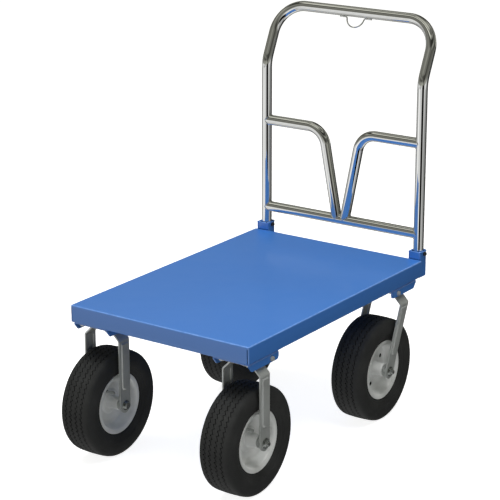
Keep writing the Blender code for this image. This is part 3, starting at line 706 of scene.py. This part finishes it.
def make_fork(label, body, centre, bend_z, trail):
    """A flat strap bent over the wheel, with a raised panel pressed into each leg."""
    node = f"fork_{label}"
    low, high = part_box(node)
    axle_z = JOINTS[f"wheel_{label}_spin"].z
    crown_z = high.z - FORK_STRAP / 2
    leg_x = (high.x - low.x) / 2 - FORK_STRAP / 2
    shoulder_x = leg_x - (crown_z - bend_z)
    line = fillet([(leg_x, 0, axle_z), (leg_x, 0, bend_z), (shoulder_x, 0, crown_z), (0, 0, crown_z)],
                  (FORK_BEND_RADIUS, FORK_BEND_RADIUS), 7)
    panel_top = line[1].z - 0.0040
    panel_foot = axle_z + PANEL_FOOT
    side = [Vector((leg_x, 0, z)) for z in leg_levels(axle_z, panel_foot, panel_top)] + line[1:-1]
    points = side + [Vector((-p.x, 0, p.z)) for p in reversed(side)]
    spread = [-1, -0.985, -FORK_EDGE_FROM, -0.9, -0.8, -0.72, -0.70, -0.68, -0.66, -0.64, -0.62, -0.60,
              -0.5, -0.25, 0]
    spread += [-s for s in reversed(spread[:-1])]
    outer, inner = [], []
    for i, point in enumerate(points):
        ahead = points[min(i + 1, len(points) - 1)] - points[max(i - 1, 0)]
        along = Vector((ahead.x, 0, ahead.z)).normalized()
        normal = Vector((along.z, 0, -along.x))
        below = max(axle_z - point.z, 0.0)
        half = sqrt(max(FORK_HALF_WIDTH ** 2 - below ** 2, 0.0))
        share = min(max((bend_z - point.z) / (bend_z - axle_z), 0.0), 1.0)
        middle = point + Vector((0, -trail * share, 0))
        for face, rows_of in ((1, outer), (-1, inner)):
            row = []
            for s in spread:
                lift = 0.0
                if point.z < panel_top:
                    along_panel = panel_top - point.z
                    lift = PANEL_RAISE * panel_height(along_panel, s * half, panel_top - panel_foot)
                edge = FORK_EDGE * rounding((abs(s) - FORK_EDGE_FROM) / (1 - FORK_EDGE_FROM), 1.0)
                reach = face * (FORK_STRAP / 2 - edge) + lift
                row.append(middle + normal * reach + Vector((0, s * half, 0)))
            rows_of.append(row)
    loops = [row_out + row_in[::-1] for row_out, row_in in zip(outer, inner)]
    piece(f"{node}_strap", loft(loops), "zinc_plate", body, [node], (centre[0], centre[1], 0), 30)


def make_axle(label, body, outward):
    """Axle bolt with washers and a lock nut on the outer side, and the sleeve in the hub."""
    place = JOINTS[f"wheel_{label}_spin"]
    low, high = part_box(f"fork_{label}")
    leg = (high.x - low.x) / 2 + GAP
    corner, washer = 0.0108, 0.0150
    profile = [(-leg - 0.0095, 0.0070)] + hexagon(-leg - 0.0093, -leg - 0.0018, corner)
    profile += [(-leg - 0.0018, washer), (-leg, washer), (-leg, AXLE_RADIUS), (leg, AXLE_RADIUS)]
    profile += [(leg, washer), (leg + 0.0018, washer)] + hexagon(leg + 0.0018, leg + 0.0085, corner)
    profile += [(leg + 0.0085, 0.0082), (leg + 0.0102, 0.0078), (leg + 0.0102, AXLE_RADIUS)]
    profile += thread(leg + 0.0102, leg + 0.0130, AXLE_RADIUS, 0.0014)
    profile += [(leg + 0.0136, AXLE_RADIUS - 0.0012)]
    made = lathe(facing(profile, outward), 48)
    piece(f"axle_{label}_bolt", made, "fastener", body, [f"axle_{label}"], place, 28)
    reach = (high.x - low.x) / 2 - FORK_STRAP - GAP
    inner, outer = AXLE_RADIUS + GAP, HUB_BORE - GAP
    seal = HUB_HALF_WIDTH + 0.0008
    sleeve = [(0, inner), (0, outer), (seal, outer), (seal, outer + 0.0030),
              (seal + 0.0035, outer + 0.0026), (seal + 0.0040, outer), (reach - 0.0006, outer),
              (reach, outer - 0.0006), (reach, inner)]
    sleeve += [(-x, r) for x, r in reversed(sleeve) if x]
    piece(f"bearing_sleeve_{label}_steel", lathe(sleeve, 48, closed=True), "zinc_plate", body,
          [f"bearing_sleeve_{label}"], place)


def make_swivel(side):
    """Kingpin with its nut, and the race: two pressed cups with a dark ball gap."""
    low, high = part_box(f"kingpin_{side}")
    race_low, race_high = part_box(f"swivel_race_{side}")
    centre = ((low.x + high.x) / 2, (low.y + high.y) / 2, 0)
    pin = 0.0080
    nut_top = race_low.z - 2 * GAP - FORK_STRAP
    profile = [(low.z, pin - 0.001)] + thread(low.z + 0.0002, low.z + 0.0012, pin)
    profile += hexagon(low.z + 0.0013, nut_top, 0.0133) + [(nut_top, pin), (race_high.z + 0.004, pin)]
    profile += [(race_high.z + 0.0048, 0.0128), (high.z - 0.0012, 0.0134), (high.z - 0.0003, 0.0122)]
    profile += [(high.z, 0.0100)]
    piece(f"kingpin_{side}_steel", lathe(profile, 48, "Z"), "fastener", "deck", [f"kingpin_{side}"],
          centre, 28)
    reach = (race_high.x - race_low.x) / 2
    middle = (race_low.z + race_high.z) / 2
    profile = [(race_low.z, 0.0120), (race_low.z, reach - 0.0055), (race_low.z + 0.0012, reach - 0.0025),
               (middle - 0.0011, reach - 0.0012), (middle - 0.0006, reach - 0.0022),
               (middle - 0.0005, reach - 0.0062), (middle + 0.0005, reach - 0.0062),
               (middle + 0.0006, reach - 0.0012), (middle + 0.0012, reach - 0.0001),
               (race_high.z - 0.0012, reach - 0.0006), (race_high.z, reach - 0.0025),
               (race_high.z, 0.0120)]
    piece(f"swivel_race_{side}_cups", lathe(profile, 64, "Z", closed=True), "zinc_plate", "deck",
          [f"swivel_race_{side}"], centre)


# -------- wheels
def crown(x):
    """Tread radius at a distance from the tyre's middle plane."""
    return TYRE_RADIUS - TREAD_DROP * (x / TREAD_HALF_WIDTH) ** 2


def tread_rows():
    """(x, radius, zigzag share, offset from the groove's middle) from shoulder to shoulder."""
    rows = []
    for i, centre in enumerate(TREAD_GROOVES):
        if i:
            middle = (centre + TREAD_GROOVES[i - 1]) / 2
            rows.append((middle, crown(middle), 0, 0))
        for side, depth in ((-1, 0), (-0.75, GROOVE_DEPTH), (0.75, GROOVE_DEPTH), (1, 0)):
            rows.append((centre, crown(centre) - depth, 1, side * GROOVE_HALF_WIDTH))
    return rows


def side_rows():
    """Shoulder, sidewall and bead on the +X side, from the tread outwards."""
    return [(0.0345, 0.1557), (0.0385, 0.1553), (0.0420, 0.1544), (0.0446, 0.1528), (0.0466, 0.1506),
            (0.0482, 0.1476), (0.0495, 0.1436), (0.0507, 0.1388), (0.0518, 0.1338), (0.0526, 0.1288),
            (0.0530, 0.1240), (0.0528, 0.1195), (0.0522, 0.1152), (0.0513, 0.1118), (0.0510, 0.1110),
            (0.0500, 0.1106), (0.0494, 0.1085), (0.0482, 0.1052), (0.0466, 0.1018), (0.0452, 0.0992),
            (0.0452, 0.0978), (0.0444, 0.0962), (0.0428, 0.0940), (0.0408, 0.0922), (0.0384, 0.0912),
            (0.0368, 0.0890), (0.0363, 0.0800), (0.0330, 0.0786), (0.0300, 0.0800), (0.0360, 0.0960),
            (0.0435, 0.1150), (0.0420, 0.1320), (0.0340, 0.1420), (0.0200, 0.1452)]


def tyre_mesh():
    side = side_rows()
    rows = tread_rows() + [(x, r, 0, 0) for x, r in side]
    rows += [(0.0, 0.1460, 0, 0)] + [(-x, r, 0, 0) for x, r in reversed(side)]
    phases = ((0.0, -1.0, 1.25), (0.40, 0.1, 1.0), (0.78, 1.0, 1.25), (0.89, 0.0, 1.9))
    loops = []
    for x, radius, zigzag, offset in rows:
        loop = []
        for tooth in range(ZIGZAGS):
            for phase, swing, widen in phases:
                angle = 2 * pi * (tooth + phase) / ZIGZAGS
                at = x + zigzag * swing * ZIGZAG_REACH + offset * widen
                loop.append((at, radius * cos(angle), radius * sin(angle)))
        loops.append(loop)
    return loft(loops, closed=True)


def rim_mesh():
    """Pressed rim: rolled lips, bead seats, a dished wall and a flat disc round the hub."""
    lip = RIM_HALF_WIDTH
    outer = [(0.0, 0.0742), (0.0080, 0.0742), (0.0120, 0.0760), (0.0340, 0.0776), (0.0368, 0.0786),
             (0.0378, 0.0810), (0.0380, 0.0880)]
    rolled = arc((lip - 0.0016, RIM_RADIUS - 0.0014), 0.0016, 120, -30, 8)
    wall = [(lip - 0.0009, 0.0850), (lip - 0.0020, 0.0790), (0.0370, 0.0760), (0.0310, 0.0745),
            (0.0180, 0.0725), (0.0130, 0.0712), (0.0100, 0.0690), (0.0086, 0.0660), (0.0080, 0.0620)]
    disc = [(0.0058, 0.0590), (0.0052, 0.0550), (0.0052, 0.0390), (0.0060, 0.0365), (0.0085, 0.0345),
            (0.0098, 0.0310), (0.0100, 0.0255), (0.0112, 0.0225), (0.0150, 0.0205), (0.0210, 0.0197)]
    end = HUB_HALF_WIDTH
    hub = [(end - 0.0012, HUB_RADIUS), (end, HUB_RADIUS - 0.0012), (end, 0.0150),
           (end - 0.0025, 0.0145), (end - 0.0025, HUB_BORE)]
    half = outer + rolled + wall + disc + hub
    return lathe(half + [(-x, r) for x, r in reversed(half) if x], 128, closed=True)


def disc_rod(angle, half_length, radius):
    """A rod through the disc: it cuts a hole, or it is the dark plug in one, which paints the hole's
    shade.
    """
    made = lathe([(-half_length, radius), (half_length, radius)], 32)
    turn = radians(angle)
    place = Vector((0, cos(turn), sin(turn))) * DISC_HOLE_CIRCLE
    bmesh.ops.translate(made, verts=made.verts, vec=place)
    return made


def make_wheels():
    """The treads share one mesh, and so do the two rims at each end."""
    tread = None
    for end in ENDS:
        pressing = None
        for side, _ in SIDES:
            label = f"{end}_{side}"
            body = f"wheel_{label}"
            place = JOINTS[f"wheel_{label}_spin"]
            tyre = f"tyre_{label}_tread"
            rim = f"rim_{label}_pressing"
            if tread is None:
                tread = piece(tyre, tyre_mesh(), "tyre_rubber", body, [f"tyre_{label}"], place, 32).data
            else:
                settle(tyre, tread, body, [f"tyre_{label}"], place)
            if pressing is None:
                made = piece(rim, rim_mesh(), "rim_silver", body, [f"rim_{label}"], place)
                for angle in DISC_HOLES[end]:
                    cut(made, disc_rod(angle, 0.02, DISC_HOLE_RADIUS))
                pressing = made.data
            else:
                settle(rim, pressing, body, [f"rim_{label}"], place)
            make_valve(label, body)
            # Painted shade: a dark rubber plug between the two discs fills each hole.
            for number, angle in enumerate(DISC_HOLES[end], 1):
                made = disc_rod(angle, 0.0040, DISC_HOLE_RADIUS - GAP)
                piece(f"rim_{label}_hole_{number}", made, "butyl", body, [], place)


def make_valve(label, body):
    """Rubber root with a metal stem and cap, on the +X face of the disc."""
    low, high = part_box(f"valve_stem_{label}")
    centre = JOINTS[f"wheel_{label}_spin"]
    place = (centre.x, (low.y + high.y) / 2, (low.z + high.z) / 2)
    profile = [(0.0062, 0.0046), (0.0072, 0.0044), (0.0080, 0.0036)]
    piece(f"valve_stem_{label}_rubber", lathe(profile, 24), "butyl", body, [f"valve_stem_{label}"], place)
    profile = [(0.0081, 0.0030), (0.0083, 0.0040), (0.0205, 0.0038), (0.0208, 0.0048), (0.0234, 0.0050),
               (0.0237, 0.0041), (0.0247, 0.0041), (0.0250, 0.0048), (0.0300, 0.0046), (0.0322, 0.0040),
               (0.0330, 0.0028)]
    piece(f"valve_cap_{label}", lathe(profile, 24), "zinc_plate", body, [], place)


# -------- handle
def make_handle():
    span = POST_HALF_SPAN
    kink = DECK_TOP + POST_KINK_RISE
    low_z, brace_z = DECK_TOP + LOW_BAR_RISE, DECK_TOP + BRACE_RISE
    y = PIVOT.y
    lean = Vector((0, sin(POST_LEAN), cos(POST_LEAN))) * LEAN_LENGTH
    points = [(-span, y, PIVOT.z + POST_FOOT), (-span, y, kink), (-span, y + lean.y, kink + lean.z)]
    points += [(-px, py, pz) for px, py, pz in reversed(points)]
    radii = (KINK_RADIUS, TOP_CORNER_RADIUS, TOP_CORNER_RADIUS, KINK_RADIUS)
    frame_mesh, _ = pipe(fillet(points, radii))
    piece("handle_frame_tube", frame_mesh, "chrome_tube", "handle", ["handle_frame"])

    posts = [(Vector((sign * span, y, 0)), Vector((0, 0, 1))) for _, sign in SIDES]
    ends = [Vector((-span, y, low_z)), Vector((span, y, low_z))]
    made, rings = pipe(ends, posts)
    piece("lower_crossbar_tube", made, "chrome_tube", "handle", ["lower_crossbar"])
    beads = [weld(ring) for ring in rings]
    low_bar = (Vector((0, y, low_z)), Vector((1, 0, 0)))
    for (side, sign), post in zip(SIDES, posts):
        points = [(sign * x, y, z) for x, z in
                  ((span, brace_z), (BRACE_CORNER_X, brace_z), (BRACE_FOOT_X, low_z))]

        def own_side(point, sign=sign):
            return Vector((sign * max(sign * point.x, GAP / 2), point.y, point.z))

        made, rings = pipe(fillet(points, (BRACE_RADIUS,)), (post, low_bar), own_side)
        piece(f"brace_{side}_tube", made, "chrome_tube", "handle", [f"brace_{side}"])
        beads += [weld(ring) for ring in rings]
    piece("handle_welds", join(beads), "chrome_tube", "handle", [], sharp=60)
    make_hang_loop(Vector((0, y + lean.y, kink + lean.z)), -lean.normalized())


def make_hang_loop(bar, down):
    start = bar + down * (TUBE_RADIUS + LOOP_WIRE + GAP)
    across = Vector((1, 0, 0))
    reach = LOOP_RADIUS + LOOP_TURN
    path = [start - across * (LOOP_RADIUS + LOOP_TAIL), start - across * (reach + 0.001)]
    for i in range(9):
        angle = radians(90 * i / 8)
        x, drop = LOOP_TURN * sin(angle) - reach, LOOP_TURN * (1 - cos(angle))
        path.append(start + across * x + down * drop)
    for x, z in arc((0, 0), LOOP_RADIUS, 190, 350, 36):
        path.append(start + across * x - down * z)
    path += [point - across * 2 * (point - start).dot(across) for point in reversed(path[:11])]
    parts = [wire(path, LOOP_WIRE)]
    for sign in (-1, 1):
        at = start + across * sign * (LOOP_RADIUS + LOOP_TAIL - 0.008) - down * LOOP_WIRE * 0.6
        blob = bmesh.new()
        bmesh.ops.create_icosphere(blob, subdivisions=3, radius=1.0)
        size = Matrix.Diagonal((0.0070, 0.0030, 0.0022, 1.0))
        turn = Matrix.Rotation(-POST_LEAN, 4, "X")
        bmesh.ops.transform(blob, matrix=Matrix.Translation(at) @ turn @ size, verts=blob.verts)
        parts.append(blob)
    piece("hang_loop_wire", join(parts), "chrome_tube", "handle", ["hang_loop"], sharp=60)


def make_sockets():
    for side, sign in SIDES:
        low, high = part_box(f"handle_socket_{side}")
        place = (sign * POST_HALF_SPAN, DECK_REAR, DECK_TOP)
        top, foot = high.z - DECK_TOP - LIP_DROP, low.z - DECK_TOP
        half = SOCKET_HALF_WIDTH - SOCKET_SHEET / 2
        rear = high.y - DECK_REAR - SOCKET_SHEET / 2
        line = [(-half, GAP), (-half, rear), (half, rear), (half, GAP)]
        made = prism(sheet_outline(line, SOCKET_BEND, SOCKET_SHEET), foot, top, "Z")
        socket = piece(f"handle_socket_{side}_channel", made, "blue_paint", "deck",
                       [f"handle_socket_{side}"], place)
        face = rear + SOCKET_SHEET / 2
        profile = [(-0.002, top + 0.001), (-0.002, foot - 0.001)]
        profile += arc((face - SOCKET_FOOT_BEND, foot + SOCKET_FOOT_BEND), SOCKET_FOOT_BEND, -90, 0, 8)
        profile += [(face + 0.00005, top + 0.001)]
        cut(socket, prism(profile, -0.04, 0.04, "X"), "INTERSECT")
        soften(socket, 0.0009, 3)
        out, back = half + LIP_SHIFT, rear + LIP_SHIFT
        line = [(-out, GAP, top), (-out, back, top), (out, back, top), (out, GAP, top)]
        lip = wire(fillet(line, (SOCKET_BEND, SOCKET_BEND), 9), LIP_RADIUS)
        piece(f"handle_socket_{side}_lip", lip, "blue_paint", "deck", [], place, 60)
        make_shoe(side, sign)
        make_pivot_bolt(side, sign)


def make_shoe(side, sign):
    """Foot of a post: square collar above, round heel about the pivot bolt."""
    low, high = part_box(f"pivot_shoe_{side}")
    half = (high.x - low.x) / 2
    top, front = high.z - PIVOT.z - LIP_DROP, low.y - PIVOT.y
    flat_foot = -(PIVOT.z - DECK_TOP) + 2 * GAP
    start = -90 - degrees(acos(min(-flat_foot / SHOE_REAR, 1.0)))
    place = (sign * POST_HALF_SPAN, PIVOT.y, PIVOT.z)
    loops = []
    for end in (-1, 1):
        for step in range(13):
            turn = radians(7.5 * (step if end > 0 else 12 - step))
            along = half - SHOE_REAR_BEND * (1 - sin(turn))
            reach = SHOE_REAR - SHOE_REAR_BEND * (1 - cos(turn))
            face = front + rounding(along - half + SHOE_FRONT_BEND, SHOE_FRONT_BEND)
            under = flat_foot + rounding(along - half + SHOE_UNDER_BEND, SHOE_UNDER_BEND)
            outline = [(reach, top), (face, top), (face, under)] + arc((0, 0), reach, start, 0, 16)
            loops.append([(end * along, u, v) for u, v in outline])
    made = loft(loops)
    shoe = piece(f"pivot_shoe_{side}_block", made, "blue_paint", "handle", [f"pivot_shoe_{side}"], place)
    recess = rounded_rectangle(half - SHOE_WALL, SHOE_REAR - 0.0016, 0.0070, 8)
    cut(shoe, prism(recess, top - 0.0065, top + 0.01, "Z"))
    bore = TUBE_RADIUS + GAP
    cut(shoe, lathe([(POST_FOOT - 0.0005, bore), (0.05, bore)], TUBE_SIDES, "Z"))
    soften(shoe, 0.0006)
    inner, face = half - LIP_RADIUS, front + LIP_RADIUS
    line = [(-inner, 0, top), (-inner, face, top), (inner, face, top), (inner, 0, top)]
    lip = wire(fillet(line, (0.0040, 0.0040), 15), LIP_RADIUS)
    piece(f"pivot_shoe_{side}_lip", lip, "blue_paint", "handle", [], place, 60)


def make_pivot_bolt(side, sign):
    """Black domed bolt head on a washer, and a low nut on the other cheek."""
    place = (sign * POST_HALF_SPAN, PIVOT.y, PIVOT.z)
    cheek = SOCKET_HALF_WIDTH + GAP
    shank, radius, height = 0.0040, 0.0063, 0.0078
    seat = cheek + 0.0008
    profile = [(-cheek - 0.0042, shank)] + hexagon(-cheek - 0.0040, -seat, radius)
    profile += [(-seat, 0.0068), (-cheek, 0.0068), (-cheek, shank), (cheek, shank)]
    profile += [(cheek, 0.0070), (seat, 0.0070), (seat, radius)]
    for i in range(1, 8):
        angle = radians(90 * i / 8)
        profile.append((seat + height * sin(angle), radius * cos(angle)))
    profile.append((seat + height, 0.0006))
    piece(f"pivot_bolt_{side}_head", lathe(profile, 48), "black_plastic", "deck",
          [f"pivot_bolt_{side}"], place)


def make_casters():
    for end in ENDS:
        for side, outward in SIDES:
            label = f"{end}_{side}"
            make_bracket(label)
            make_plate(label)
            make_tie_bolt(label, outward)
            wheel = JOINTS[f"wheel_{label}_spin"]
            body, turn, drop = "deck", wheel, RIGID_BEND_DROP
            if end == "rear":
                body, turn, drop = f"swivel_{side}", JOINTS[f"swivel_{side}_turn"], SWIVEL_BEND_DROP
            make_fork(label, body, turn, DECK_TOP - drop, turn.y - wheel.y)
            make_axle(label, body, outward)
            if end == "rear":
                make_swivel(side)


def finish_inner_tubes():
    """The inner tubes are right as they are: only their material changes."""
    for name, node in frame["nodes"].items():
        if name.startswith("inner_tube"):
            node.data.materials.clear()
            node.data.materials.append(FINISH["butyl"])


# -------- stage
CAMERA_AZIMUTH = radians(34.89)
CAMERA_ELEVATION = radians(17.35)
CAMERA_ROLL = -0.0015
CAMERA_DISTANCE = 5.4076
CAMERA_LENS = 133.97
AIM_FROM_DECK_FRONT = 0.4500
AIM_ACROSS = -0.0029
AIM_UP = 0.0944


def make_camera():
    flat, rise = cos(CAMERA_ELEVATION), sin(CAMERA_ELEVATION)
    back = Vector((sin(CAMERA_AZIMUTH) * flat, -cos(CAMERA_AZIMUTH) * flat, rise))
    right = (-back).cross(Vector((0, 0, 1))).normalized()
    up = right.cross(-back)
    turn = Matrix.Rotation(CAMERA_ROLL, 3, back)
    aim = Vector((0, deck_low.y + AIM_FROM_DECK_FRONT, DECK_TOP)) + right * AIM_ACROSS + up * AIM_UP
    lens = bpy.data.cameras.new("camera")
    lens.lens = CAMERA_LENS
    lens.sensor_width = 36.0
    lens.clip_end = 200.0
    made = show("camera", lens)
    axes = Matrix((turn @ right, turn @ up, back)).transposed().to_4x4()
    made.matrix_world = Matrix.Translation(aim + back * CAMERA_DISTANCE) @ axes
    bpy.context.scene.camera = made


def area_light(name, place, aim, size, power):
    light = bpy.data.lights.new(name, "AREA")
    light.shape = "RECTANGLE"
    light.size, light.size_y = size
    light.energy = power
    made = show(name, light)
    made.location = place
    made.rotation_euler = (Vector(aim) - Vector(place)).to_track_quat("-Z", "Y").to_euler()
    made.visible_glossy = False


def ramp(tree, value, stops):
    made = tree.nodes.new("ShaderNodeValToRGB")
    tree.links.new(value, made.inputs[0])
    steps = made.color_ramp.elements
    while len(steps) < len(stops):
        steps.new(0.5)
    for step, (position, _) in zip(steps, stops):
        step.position = position
    for step, (_, level) in zip(steps, stops):
        step.color = (level, level, level, 1)
    return made.outputs["Color"]


# Radiance round the studio, by degrees from the front (-Y) towards the right (+X).
LOW_BANDS = ((-180, 0.06), (-150, 0.10), (-130, 0.22), (-110, 0.30), (-85, 0.36), (-65, 0.58),
             (-50, 0.78), (-20, 0.74), (-4, 0.84), (17, 0.84), (25, 0.12), (29, 0.0), (60, 0.0),
             (63, 0.45), (72, 0.60), (85, 0.62), (100, 0.50), (112, 0.34), (122, 0.14), (135, 0.03),
             (165, 0.03), (180, 0.06))
HIGH_BANDS = ((-180, 0.18), (-160, 0.20), (-150, 0.45), (-140, 1.0), (-122, 1.0), (-104, 0.50),
              (-60, 0.70), (-40, 0.75), (-15, 0.95), (10, 0.85), (36, 0.30), (54, 0.30), (70, 0.62),
              (100, 0.50), (138, 0.50), (150, 1.0), (170, 1.0), (180, 0.18))
# Radiance by height (the sine of the elevation), times the bands.
LEVELS = ((-1.0, 0.50), (-0.75, 0.50), (-0.40, 0.52), (-0.20, 0.58), (-0.06, 0.60), (0.0, 0.26),
          (0.10, 0.20), (0.22, 0.10), (0.32, 0.14), (0.42, 0.06), (0.50, 0.22), (0.58, 0.20), (0.64, 0.04),
          (0.76, 0.05), (0.79, 0.60), (0.84, 0.62), (0.86, 0.10), (0.93, 0.10), (0.96, 0.30), (1.0, 0.30))
STUDIO_STRENGTH = 2.0
FLOOR_RADIUS = 60.0
WALL_HEIGHT = 45.0

# Soft lights: name, place, aim, size and watts.
LIGHTS = (("key", (-0.8, -0.8, 4.2), (0, 0, 0.4), (2.6, 2.6), 88),
          ("fill", (1.15, -0.3, 3.0), (0.2, 0, 0.2), (1.4, 1.4), 36),
          ("low_fill", (2.0, -2.9, 0.40), (0, 0, 0.18), (1.6, 0.6), 9))


def make_world():
    """Studio surroundings: a pale low part, bands all round, and a softbox overhead."""
    world = bpy.data.worlds.new("studio")
    bpy.context.scene.world = world
    world.use_nodes = True
    tree = world.node_tree
    place = tree.nodes.new("ShaderNodeTexCoord").outputs["Generated"]
    right, back, height = split_xyz(tree, place)
    turn = calculate(tree, "ARCTAN2", right, calculate(tree, "MULTIPLY", back, -1.0))
    around = remap(tree, turn, -pi, pi, 0.0, 1.0)
    low, high = [ramp(tree, around, [((angle + 180) / 360, level) for angle, level in bands])
                 for bands in (LOW_BANDS, HIGH_BANDS)]
    plain = (0.80, 0.80, 0.78)
    low = mix(tree, remap(tree, height, -0.92, -0.70, 1.0, 0.0), low, plain)
    high = mix(tree, remap(tree, height, 0.86, 0.92, 0.0, 1.0), high, (1.0, 1.0, 1.0))
    high = tint(tree, high, (1.0, 1.0, 0.88))
    bands = mix(tree, remap(tree, height, -0.04, 0.02, 0.0, 1.0), low, high)
    level = ramp(tree, remap(tree, height, -1.0, 1.0, 0.0, 1.0), [((z + 1) / 2, v) for z, v in LEVELS])
    streaks = noise(tree, place, 2.4, 1.0, (0.4, 0.4, 2.2))
    level = tint(tree, level, remap(tree, streaks, 0.32, 0.68, 0.35, 1.65))
    background = tree.nodes["Background"]
    tree.links.new(tint(tree, bands, level), background.inputs["Color"])
    background.inputs["Strength"].default_value = STUDIO_STRENGTH


def make_floor():
    """Pale floor with a far pale wall. Both are only a backdrop and light nothing."""
    made = bmesh.new()
    bmesh.ops.create_circle(made, cap_ends=True, segments=96, radius=FLOOR_RADIUS)
    bottom = [edge for edge in made.edges if edge.is_boundary]
    grown = bmesh.ops.extrude_edge_only(made, edges=bottom)
    risen = [item for item in grown["geom"] if isinstance(item, bmesh.types.BMVert)]
    bmesh.ops.translate(made, verts=risen, vec=(0, 0, WALL_HEIGHT))
    mesh = bpy.data.meshes.new("floor")
    made.to_mesh(mesh)
    made.free()
    paint = shader("floor_paint", (0.80, 0.80, 0.80), 0.9, 0.0,
                   Emission_Color=(1, 1, 1, 1), Emission_Strength=0.88)[0]
    mesh.materials.append(paint)
    floor = show("floor", mesh)
    floor.location.z = -0.0005
    floor.visible_diffuse = False
    floor.visible_glossy = False
    floor.visible_shadow = False


make_deck()
make_channels()
make_casters()
make_wheels()
make_handle()
make_sockets()
finish_inner_tubes()
make_camera()
make_world()
make_floor()
for light in LIGHTS:
    area_light(*light)
bpy.context.scene.view_settings.view_transform = "Standard"
